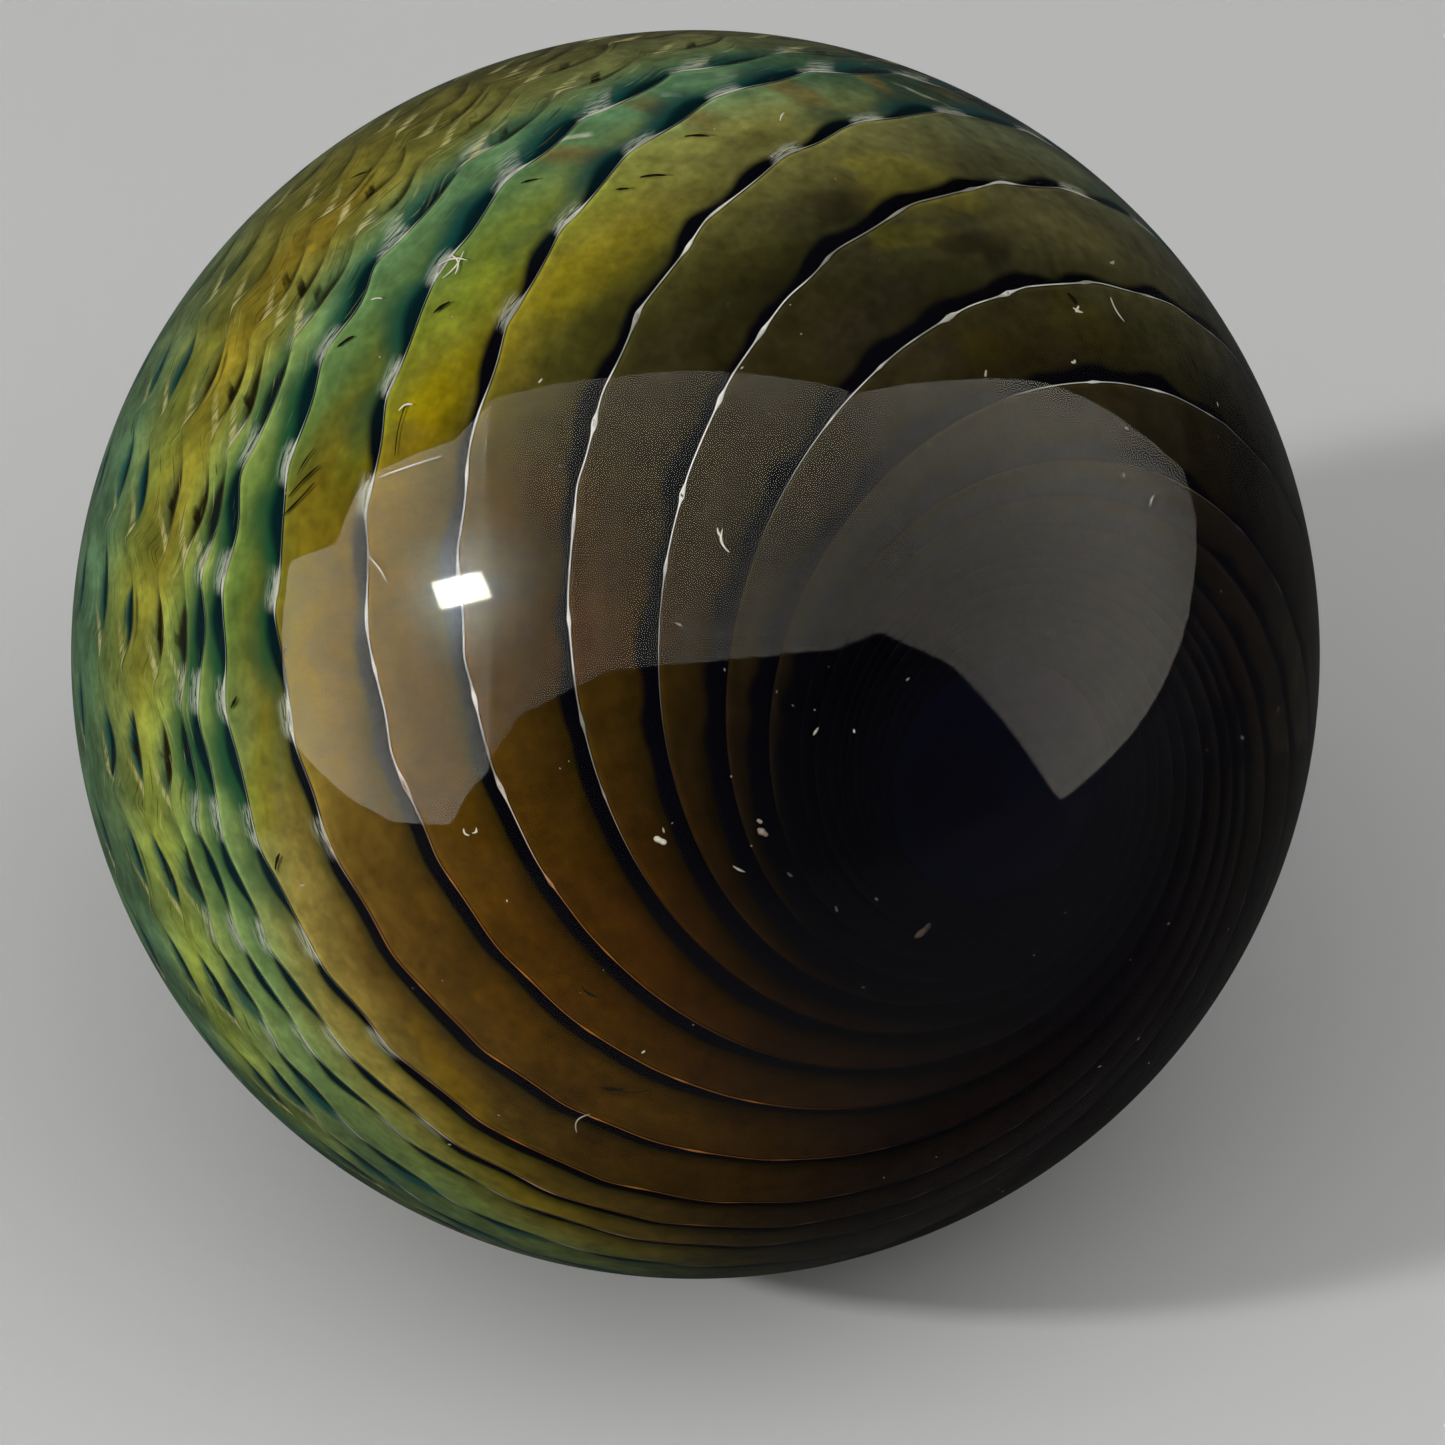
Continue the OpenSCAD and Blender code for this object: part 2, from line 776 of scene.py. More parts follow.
STAINS: tuple[Stain, ...] = (
    Stain(-6.0, 53.0, 5.5, 2.0, (0.36, 0.34, 0.32), 0.85),
    Stain(12.0, 58.8, 6.5, 2.2, (0.34, 0.32, 0.26), 0.85),
    Stain(22.0, 54.0, 12.0, 2.0, (0.66, 0.64, 0.56), 0.7),
    Stain(2.0, 60.5, 8.0, 4.2, (2.1, 2.0, 0.9), 0.9),
    Stain(3.0, 53.4, 6.0, 1.9, (1.9, 1.85, 0.9), 0.9),
    Stain(-20.0, 46.0, 9.0, 3.0, (1.15, 1.1, 0.6), 0.7),
    Stain(-2.0, 40.5, 7.0, 2.0, (1.25, 1.2, 0.6), 0.7),
    Stain(13.0, 69.0, 5.0, 2.0, (0.62, 0.56, 0.56), 0.7),
    Stain(36.0, 63.0, 10.0, 3.0, (1.25, 1.22, 0.6), 0.8),
    Stain(58.0, 65.5, 7.0, 3.2, (1.25, 1.2, 0.15), 0.9),
    Stain(87.0, 69.0, 6.0, 2.4, (1.12, 1.08, 0.30), 0.9),
    Stain(63.0, 73.5, 9.0, 2.6, (0.95, 0.74, 0.5), 0.8),
    Stain(76.0, 44.0, 9.0, 3.0, (1.1, 0.86, 0.6), 0.7),
    Stain(98.0, 72.5, 7.0, 2.0, (1.05, 1.0, 0.35), 0.8),
    Stain(123.0, 67.5, 7.0, 1.8, (1.2, 1.22, 1.2), 0.8),
    Stain(134.0, 61.5, 9.0, 1.8, (1.35, 1.3, 0.5), 0.85),
    Stain(140.0, 44.0, 14.0, 3.0, (1.2, 1.2, 0.6), 0.8),
    Stain(146.0, 94.0, 14.0, 4.0, (0.55, 0.85, 1.05), 0.75),
    Stain(56.0, 94.5, 17.0, 3.2, (1.22, 0.98, 0.66), 0.85),
)


@dataclass(frozen=True)
class Zone:
    """A part of the swirl: the spans of polar angle and of spin over which it starts or ends, in degrees."""

    polar: tuple[Span, ...]
    spin: tuple[Span, ...] = ()

    def mask(self, paint: Paint, polar: Wire, spin: Wire) -> Wire:
        """A mask that is 1 inside the zone: the product of a smooth step over each span."""
        inside = paint.steps(polar, *self.polar)
        return inside * paint.steps(spin, *self.spin) if self.spin else inside


@dataclass(frozen=True)
class Tint:
    """Lighter and darker tone that a wave gives a colour: a dark factor at its low level, a light one at its
    high.
    """

    low: float
    high: float
    dark: float
    light: float
    blue: float = 0.98

    def over(self, paint: Paint, body: Wire, wave: Wire) -> Wire:
        """The body made darker where the wave is low and lighter where it is high."""
        stops = [(self.low, self.dark), (self.high, self.light)]
        return paint.scaled(body, paint.ramp(wave, [(at, (f, f, f * self.blue)) for at, f in stops]))


@dataclass(frozen=True)
class Thread:
    """A mark that crosses each scale.

    Its phase is its place in the scale, as a share, its edge the levels of the wave along the scales over
    which it starts, and its share how much of it shows.
    """

    phase: float
    edge: Span
    share: float
    colour: Colour

    def over(self, paint: Paint, body: Wire, lean: Wire, inside: Wire) -> Wire:
        """The body with the mark over it.

        Args:
            paint: the material.
            body: the colour so far.
            lean: how far the mark's place moves along the scale, as a share of it.
            inside: a mask that is 1 where the mark shows.

        Returns:
            The colour with the mark.
        """
        mark = paint.rise(paint.leaning(self.phase, lean), *self.edge)
        return paint.blend(mark * inside * self.share, body, linear(*self.colour))


FRONT: tuple[Span, Span] = ((150.0, 118.0), (-46.0, -22.0))
MILK: Colour = (226, 230, 208)
STRAW: Colour = (214, 206, 140)


@dataclass(frozen=True)
class PetalGlass:
    """Amber, lime and teal glass, dark where a petal comes out from under the next: dark glass with painted
    shadow.

    Each side of the eye has a ramp that gives the glass's colour at polar angles from the eye. Zones say
    which part of the swirl shows an effect, and spans with edge in their names where it starts. Drifts are
    how far noise moves a colour, in degrees of polar angle and of spin. Colours are as a screen writes them,
    but fringe, deeper, scale_shade and scale_light are factors.
    """

    sides: tuple[tuple[float, Ramp], ...] = SIDES
    stains: tuple[Stain, ...] = STAINS
    last_side_end: float = 268.0
    # Painted shadow: night, teal_dark and olive_dark colour the dark lines beside the lips, over dark glass;
    # olive_dark also colours dark hairs.
    night: Colour = (6, 5, 10)
    olive_dark: Colour = (38, 34, 10)
    teal_dark: Colour = (6, 32, 34)
    # Painted shade in the lenses under the later arches.
    teal_arch_shade: Colour = (6, 74, 70)
    olive_arch_shade: Colour = (66, 72, 22)
    # Painted teal and green shade under the lips of the first rows.
    teal_lip_shade: Colour = (10, 66, 64)
    green_lip_shade: Colour = (14, 74, 46)
    smoke: Colour = (50, 44, 36)
    # Painted shade: a darker, greener fringe beside the dark lines below the eye.
    shade_fringe: Colour = (0.42, 0.62, 0.5)
    # Painted shade toward the cover, under the next petal's lip.
    cover_shade: Colour = (0.58, 0.60, 0.56)
    # Painted light and shade across each scale of the belt, which make it look puffed.
    scale_shade: Colour = (0.62, 0.64, 0.6)
    scale_light: Colour = (1.22, 1.2, 1.1)
    # Painted highlight at the lip.
    lip_light: float = 1.45
    clouds: Grain = Grain(150.0, 2.0, 0.5, 0.3)
    wander: Grain = Grain(330.0, 3.0, 0.6)
    fine: Grain = Grain(1000.0, 3.0, 0.62)
    finest: Grain = Grain(2800.0, 2.0, 0.6)
    threads: Grain = Grain(1.0, 4.0, 0.62)
    fibres: Grain = Grain(1.0, 3.0, 0.6, 1.2)
    hairs: Grain = Grain(1.0, 3.0, 0.6, 0.6)
    threads_flow: Span = (0.35, 0.9)
    fibres_flow: Span = (1.1, 4.5)
    hairs_flow: Span = (0.5, 2.6)
    threads_tint: Tint = Tint(0.3, 0.72, 0.90, 1.08)
    fine_tint: Tint = Tint(0.3, 0.72, 0.72, 1.26)
    finest_tint: Tint = Tint(0.3, 0.7, 0.84, 1.16)
    colour_drift: Span = (8.0, 16.0)
    stain_drift: Span = (7.0, 30.0)
    stain_edge: Span = (1.6, 0.1)
    smoke_edge: Span = (-0.02, 0.16)
    smoke_share: float = 0.45
    cover_edge: Span = (0.7, 0.0)
    cover_share: float = 0.85
    lip_edge: Span = (0.8, 0.1)
    lit_edge: Span = (88.0, 80.0)
    lip_shade_share: float = 0.94
    arch_shade_share: float = 0.96
    relief: float = 0.03 * MM
    smoke_zone: Zone = Zone(((68.0, 60.0), (34.0, 42.0)), ((60.0, 20.0),))
    cell_zone: Zone = Zone(((70.0, 75.0), (82.5, 79.0)), ((38.0, 28.0), (-24.0, -8.0)))
    row_zone: Zone = Zone(((68.0, 74.0), (90.0, 83.0)), ((132.0, 96.0), (-75.0, -40.0)))
    smear_zone: Zone = Zone(((62.0, 68.0), (88.0, 84.0)), FRONT)
    mist_zone: Zone = Zone(((79.0, 82.0), (90.0, 86.0)), ((56.0, 44.0), *FRONT))
    tail_zone: Zone = Zone(((83.0, 87.0), (114.0, 106.0)))
    hook_zone: Zone = Zone(((84.5, 86.5), (97.0, 93.0)), FRONT)
    weave_zone: Zone = Zone(((76.0, 86.0), (140.0, 120.0)))
    rib: Thread = Thread(0.38, (0.3, 1.0), 0.8, (122, 108, 62))
    streak: Thread = Thread(0.06, (0.86, 0.99), 0.5, MILK)
    smear: Thread = Thread(0.88, (0.2, 0.9), 0.85, MILK)
    mist: Thread = Thread(0.92, (0.55, 1.0), 0.6, MILK)
    tail: Thread = Thread(0.97, (0.9, 0.995), 0.85, STRAW)
    hook: Thread = Thread(0.62, (0.92, 0.975), 0.95, (24, 22, 8))

    def material(self) -> bpy.types.Material:
        """Colour by place, then clouds, cells, painted shade and highlight, threads, painted shade, dark
        lines with painted shadow, and marks.

        Returns:
            The material.
        """
        paint = Paint("petal_glass")
        where = paint.place()
        polar, spin = paint.attribute("polar"), paint.spin()
        cloud = paint.noise(where, self.clouds) - 0.5
        wander = paint.noise(where, self.wander) - 0.5
        fine = paint.noise(where, self.fine)
        lookup = (polar + cloud * self.colour_drift[0]) / HALF_TURN
        body = self._around(paint, lookup, spin + wander * self.colour_drift[1])
        stain_polar, stain_spin = (at + wander * far for at, far in zip((polar, spin), self.stain_drift))
        body = self._stained(paint, body, stain_polar, stain_spin)
        body = self._smoked(paint, body, polar, spin, cloud + wander * 0.6)
        body = self._cells(paint, body, polar, spin, wander)
        body = self._cover_shade_and_lip_highlight(paint, body, polar)
        body = self._mottled(paint, body, where, fine)
        body = self._shaded(paint, body, polar, spin, wander)
        body = self._lip_shadow_lines(paint, body, polar, spin, cloud, wander + fine * 0.4)
        body = self._threads(paint, body, polar, spin, fine)
        return paint.finish(
            {
                "Base Color": body,
                "Roughness": 0.5,
                "IOR": 1.45,
                "Specular IOR Level": 0.0,
                "Normal": paint.bump(fine, self.relief),
            }
        )

    def _around(self, paint: Paint, lookup: Wire, spin: Wire) -> Wire:
        """The glass's colour from the sides' ramps, each blended into the next round the eye.

        Args:
            paint: the material.
            lookup: the polar angle as a share of a half turn.
            spin: the spin.

        Returns:
            The colour.
        """
        ramps = [paint.ramp(lookup, polar_stops({**ramp, **BELOW})) for _, ramp in self.sides]
        body = ramps[0]
        for (start, _), (end, _), ramp in zip(self.sides, self.sides[1:], ramps[1:]):
            body = paint.blend(paint.rise(spin, start, end), body, ramp)
        return paint.blend(paint.rise(spin, self.sides[-1][0], self.last_side_end), body, ramps[0])

    def _stained(self, paint: Paint, body: Wire, polar: Wire, spin: Wire) -> Wire:
        """Clouds of smoke and of yellow, each an ellipse with a soft edge.

        Args:
            paint: the material.
            body: the colour so far.
            polar: the polar angle.
            spin: the spin.

        Returns:
            The colour with its clouds.
        """
        for stain in self.stains:
            across, along = (spin - stain.spin) / stain.wide, (polar - stain.polar) / stain.high
            cover = paint.rise(across * across + along * along, *self.stain_edge) * stain.share
            body = paint.blend(cover, body, paint.scaled(body, stain.colour))
        return body

    def _smoked(self, paint: Paint, body: Wire, polar: Wire, spin: Wire, cloud: Wire) -> Wire:
        """Brown smoke in the glass above the eye."""
        smoke = paint.rise(cloud, *self.smoke_edge) * self.smoke_zone.mask(paint, polar, spin)
        return paint.blend(smoke * self.smoke_share, body, linear(*self.smoke))

    def _cells(self, paint: Paint, body: Wire, polar: Wire, spin: Wire, wander: Wire) -> Wire:
        """Tan ribs, which lean, between the cells of the first scale rows.

        Args:
            paint: the material.
            body: the colour so far.
            polar: the polar angle.
            spin: the spin.
            wander: noise about 0, which makes what it is added to wander.

        Returns:
            The colour with its ribs.
        """
        zone = self.cell_zone.mask(paint, polar, spin)
        body = self.rib.over(paint, body, (polar - 76.0) * 0.04 + wander * 0.7, zone)
        some = zone * paint.rise(wander, -0.02, 0.06) * paint.rise(polar, 73.5, 76.0)
        return self.streak.over(paint, body, (polar - 78.0) * 0.13 + wander * 0.5, some)

    def _cover_shade_and_lip_highlight(self, paint: Paint, body: Wire, polar: Wire) -> Wire:
        """Painted shade toward the cover, under the next petal's lip, and a painted highlight at the lip.

        How near the cover is: the way past the upper lip, over the whole way between the lips.

        Args:
            paint: the material.
            body: the colour so far.
            polar: the polar angle.

        Returns:
            The colour, scaled darker and lighter.
        """
        out, inside = paint.attribute("past_lip"), paint.attribute("to_lip")
        # Painted shade: darker toward the cover, under the next petal's lip.
        cover = paint.rise(out / (out + inside + 0.5), *self.cover_edge) * self.cover_share
        body = paint.blend(cover, body, paint.scaled(body, self.cover_shade))
        # Painted highlight along the lip.
        lit = paint.rise(inside, *self.lip_edge) * paint.rise(polar, *self.lit_edge)
        return paint.blend(lit, body, paint.scaled(body, (self.lip_light,) * 3))

    def _mottled(self, paint: Paint, body: Wire, where: Wire, fine: Wire) -> Wire:
        """Fine cloudiness, and threads that run along the petal.

        Args:
            paint: the material.
            body: the colour so far.
            where: the place that noise is looked up at.
            fine: fine noise from 0 to 1.

        Returns:
            The colour with its fine grain.
        """
        threads = paint.noise(paint.flow(paint.attribute("to_lip"), self.threads_flow), self.threads)
        body = self.threads_tint.over(paint, body, threads)
        body = self.fine_tint.over(paint, body, fine)
        return self.finest_tint.over(paint, body, paint.noise(where, self.finest))

    def _shaded(self, paint: Paint, body: Wire, polar: Wire, spin: Wire, wander: Wire) -> Wire:
        """Painted shade: teal under the lips of the first rows, light and shade that puff the scales, and
        lenses under the later arches.

        A painted shade is full at the lip and gone at a reach that grows in the middle of a scale. A painted
        puff is light in the middle of a scale by the lip and dark at its sides.

        Args:
            paint: the material.
            body: the colour so far.
            polar: the polar angle.
            spin: the spin.
            wander: noise about 0, which makes what it is added to wander.

        Returns:
            The colour with its shades.
        """
        out = paint.attribute("past_lip")
        # Painted teal and green shade under each lip of the first rows.
        reach = 5.0 + paint.near_rib(0.4) * 1.8 + wander * 4.0
        lip_shade = paint.rise(out / reach, 1.0, 0.25) * self.row_zone.mask(paint, polar, spin)
        tone = paint.blend(paint.rise(spin, 35.0, 70.0), linear(*self.teal_lip_shade), linear(*self.green_lip_shade))
        body = paint.blend(lip_shade * self.lip_shade_share, body, tone)
        # Painted light and shade: light in the middle of each scale by the lip, dark at its sides.
        puff = paint.near_rib(0.3) * 0.6 - out * 0.22 + 0.6 + wander
        scale_puff_shading = paint.ramp(paint.rise(puff, -0.9, 1.0), [(0.0, self.scale_shade), (1.0, self.scale_light)])
        body = paint.blend(paint.rise(polar, 83.0, 88.0), body, paint.scaled(body, scale_puff_shading))
        # Painted shade in lenses under the later arches.
        long = paint.math("MAXIMUM", paint.near_rib(0.52) * 1.9 + 1.8 + wander * 4.0, 0.4)
        behind = paint.rise(self._ahead(polar, spin), 95.0, 100.0) * paint.rise(spin, 206.0, 170.0)
        tone = paint.blend(paint.rise(spin, 48.0, 66.0), linear(*self.olive_arch_shade), linear(*self.teal_arch_shade))
        return paint.blend(paint.rise(out / long, 1.0, 0.4) * behind * self.arch_shade_share, body, tone)

    @staticmethod
    def _ahead(polar: Wire, spin: Wire) -> Wire:
        """A polar angle that grows with the spin, for what starts later on the eye's far side."""
        return polar + (spin - 60.0) * 0.25

    def _lip_shadow_lines(
        self, paint: Paint, body: Wire, polar: Wire, spin: Wire, cloud: Wire, ragged: Wire
    ) -> Wire:
        """The dark in the step beside each lip: dark glass with painted shadow under the lip.

        Above the eye it is long blots, below it even lines with a painted shade fringe, and in the belt arcs.

        Args:
            paint: the material.
            body: the colour so far.
            polar: the polar angle.
            spin: the spin.
            cloud: broad noise about 0, which says where the blots are.
            ragged: fine noise about 0, which makes the edges ragged.

        Returns:
            The colour with its dark lines.
        """
        out = paint.attribute("past_lip")
        blot = paint.rise(cloud, -0.09, 0.03)
        lower = paint.rise(spin, 76.0, 96.0)
        upper_line = 0.75 + blot * 0.85 + paint.rise(paint.near_rib(0.25), -0.8, 1.0) * 0.55
        lower_line = 1.7 + cloud * 1.3 - paint.rise(spin, 136.0, 168.0) * 0.6
        long = upper_line + lower * (lower_line - upper_line)
        rows = paint.rise(polar - lower * 2.0, 60.0, 69.0)
        belt = paint.rise(polar, 82.0, 87.0)
        waved = 1.3 - lower * 0.35 + paint.near_rib(0.32) * (0.75 - lower * 0.1)
        arcs = (0.7 + paint.near_rib(0.5) * 0.75) * (0.62 + 0.5 * paint.rise(spin, 45.0, 80.0))
        reach = long + rows * (waved - long)
        reach = reach + belt * (arcs - reach) + ragged * 0.5
        soft = 1.05 - lower * 0.5 + 0.2 * rows - 0.2 * belt
        # Painted shadow under each lip, over dark glass: where the dark lines show.
        mask = 1.0 - paint.rise((out - reach) / soft, -0.5, 0.5)
        tone = paint.blend(paint.rise(polar, 66.0, 76.0), linear(*self.night), linear(*self.teal_dark))
        olive = paint.rise(polar, 83.0, 87.0) * paint.rise(self._ahead(polar, spin), 101.0, 96.0)
        tone = paint.blend(olive, tone, linear(*self.olive_dark))
        # Painted shade fringe beside the dark lines below the eye.
        shade_fringe = paint.rise(out - reach, 1.5, 0.0) * lower * paint.rise(polar, 74.0, 68.0)
        body = paint.blend(shade_fringe * 0.75, body, paint.scaled(body, self.shade_fringe))
        return paint.blend(mask, body, tone)

    def _threads(self, paint: Paint, body: Wire, polar: Wire, spin: Wire, fine: Wire) -> Wire:
        """Milky smears by the cusps, straw-coloured tails across the scales, dark hooks and fine hairs.

        Each kind of mark leans with the way past the lip and is torn by its own noise.

        Args:
            paint: the material.
            body: the colour so far.
            polar: the polar angle.
            spin: the spin.
            fine: fine noise from 0 to 1.

        Returns:
            The colour with its marks.
        """
        out = paint.attribute("past_lip")
        fibre = paint.noise(paint.flow(out, self.fibres_flow), self.fibres)
        strands = paint.rise(fibre, 0.42, 0.56)
        marks = (
            (self.smear, 0.0, (2.2, 0.1), self.smear_zone, strands),
            (self.mist, -0.06, (5.0, 0.5), self.mist_zone, paint.rise(fibre, 0.4, 0.6)),
            (self.tail, -0.11, (4.5, 0.6), self.tail_zone, strands),
            (self.hook, -0.05, (2.8, 1.4), self.hook_zone, paint.rise(fine, 0.64, 0.46)),
        )
        for mark, lean, reach, zone, ragged in marks:
            inside = paint.rise(out, *reach) * zone.mask(paint, polar, spin) * ragged
            body = mark.over(paint, body, out * lean, inside)
        hairs = paint.noise(paint.flow(paint.attribute("to_lip"), self.hairs_flow), self.hairs)
        weave = self.weave_zone.mask(paint, polar, spin)
        body = paint.blend(paint.rise(hairs, 0.62, 0.70) * weave * 0.3, body, linear(*STRAW))
        return paint.blend(paint.rise(hairs, 0.40, 0.34) * weave * 0.62, body, linear(*self.olive_dark))


@dataclass(frozen=True)
class DarkGlass:
    """Cobalt glass so deep that it looks almost black."""

    deep: Colour = (4, 4, 11)
    tint: Colour = (9, 8, 26)
    clouds: Grain = Grain(160.0, 4.0, 0.55, 0.6)

    def material(self) -> bpy.types.Material:
        """Two cobalt tones in soft clouds.

        Returns:
            The material.
        """
        paint = Paint("dark_glass")
        cloud = paint.noise(paint.place(), self.clouds)
        body = paint.ramp(cloud, [(0.35, linear(*self.deep)), (0.75, linear(*self.tint))])
        return paint.finish({"Base Color": body, "Roughness": 0.5, "Specular IOR Level": 0.0})


@dataclass(frozen=True)
class SilverFilm:
    """A thread of silver fumed on an edge, stained by the amber glass lower down."""

    bright: Colour = (246, 244, 232)
    grey: Colour = (176, 176, 160)
    faint: Colour = (104, 100, 84)
    stained: Colour = (188, 118, 42)
    # Near black: painted shade on the silver on the far sides, and silver lost near the eye.
    lost_and_shaded: Colour = (34, 24, 30)
    pit: Colour = (60, 56, 48)
    straw: Colour = (190, 178, 112)
    patches: Grain = Grain(900.0, 3.0, 0.6)
    stretches: Grain = Grain(260.0, 2.0, 0.5)
    relief: float = 0.03 * MM
    before_tail: Span = (104.0, 92.0)

    def material(self) -> bpy.types.Material:
        """Silver in patches, with a pit in each bead, then faint and stained stretches over it, painted shade
        that darkens it on the sides away from the key light, and dark where it is lost near the eye.

        Returns:
            The material.
        """
        paint = Paint("silver_film")
        where = paint.place()
        polar, spin, side = paint.attribute("polar"), paint.spin(), paint.attribute("side")
        patch = paint.noise(where, self.patches)
        body = paint.ramp(patch, [(0.3, linear(*self.grey)), (0.5, linear(*self.bright))])
        hole = paint.rise(paint.attribute("node"), 0.66, 0.82) * paint.rise(side * side, 0.5, 0.2)
        before = paint.rise(polar, *self.before_tail)
        layers = (
            (hole * paint.rise(patch, 0.42, 0.55), self.pit),
            (paint.rise(paint.noise(where, self.stretches), 0.53, 0.42) * 0.8, self.faint),
            (paint.rise(polar, 58.0, 68.0) * 0.5, self.grey),
            (paint.rise(spin, 88.0, 114.0) * paint.rise(polar, 70.0, 60.0), self.stained),
            (paint.rise(polar, 81.0, 88.0) * 0.85, self.straw),
            # Painted shade: the silver darkened on the two sides away from the key light.
            (paint.rise(spin, 150.0, 185.0) * before, self.lost_and_shaded),
            (paint.rise(spin, -26.0, -56.0) * before, self.lost_and_shaded),
            (paint.rise(polar, 40.0, 30.0), self.lost_and_shaded),
        )
        for share, colour in layers:
            body = paint.blend(share, body, linear(*colour))
        return paint.finish(
            {
                "Base Color": body,
                "Roughness": 0.4,
                "Specular IOR Level": 0.3,
                "Normal": paint.bump(patch, self.relief),
            }
        )


@dataclass(frozen=True)
class Speck:
    """Dust, lint and bits in the glass, from dark to pale."""

    dark: Colour = (22, 20, 6)
    dim: Colour = (112, 96, 84)
    pale: Colour = (232, 228, 208)

    def material(self) -> bpy.types.Material:
        """Dull glass whose colour is looked up by each mark's tone.

        Returns:
            The material.
        """
        paint = Paint("speck")
        stops = [(0.0, linear(*self.dark)), (0.3, linear(*self.dim)), (0.9, linear(*self.pale))]
        body = paint.ramp(paint.attribute("tone"), stops)
        return paint.finish({"Base Color": body, "Roughness": 0.7, "Specular IOR Level": 0.1})


# ---------------------------------------------------------------- the marble's parts


@dataclass
class ClearBall:
    """The clear glass of the ball, solid to its centre, which the swirl stands in."""

    radius: float
    around: int = 256
    down: int = 128

    def build(self, material: bpy.types.Material) -> bpy.types.Object:
        """The ball as a grid of turned circles, closed at both poles.

        Args:
            material: the clear glass.

        Returns:
            The piece, which stands for the CAD node.
        """
        fall = np.linspace(0.0, np.pi, self.down + 1)[1:-1, None]
        turn = round_turn(self.around)
        rings = self.radius * np.stack(
            [np.sin(fall) * np.cos(turn), np.sin(fall) * np.sin(turn), np.cos(fall) + 0.0 * turn], -1
        )
        tips = np.array([[0.0, 0.0, self.radius], [0.0, 0.0, -self.radius]])
        piece = hand_over(sleeve("clear_ball", rings, tips=tips), material)
        piece.visible_shadow = False
        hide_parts(BALL_NODE)
        return piece


@dataclass
class DarkCore:
    """The dark glass under the petals, which rises to a smooth cap at the eye and a small one behind."""

    ball: float
    swirl: Swirl
    body_share: float = 0.88
    cap_share: float = 0.951
    back_share: float = 0.945
    front_end: Span = (10.0, 15.0)
    back_start: Span = (169.0, 173.0)
    around: int = 160
    down: int = 120

    def build(self, material: bpy.types.Material) -> bpy.types.Object:
        """A ball about the eye's axis whose radius rises at each end.

        Args:
            material: the dark glass.

        Returns:
            The piece.
        """
        fall = np.linspace(0.0, HALF_TURN, self.down + 1)[1:-1, None]
        turn = round_turn(self.around, FULL_TURN)
        front = (self.cap_share - self.body_share) * (1.0 - smooth_rise(fall, *self.front_end))
        back = (self.back_share - self.body_share) * smooth_rise(fall, *self.back_start)
        radius = self.ball * (self.body_share + front + back)
        rings = self.swirl.points(fall + 0.0 * turn, turn + 0.0 * fall, radius + 0.0 * turn)
        eye = self.swirl.axes()[0]
        tips = np.array([eye * self.cap_share, -eye * self.back_share]) * self.ball
        return hand_over(sleeve("dark_core", rings, tips=tips), material)


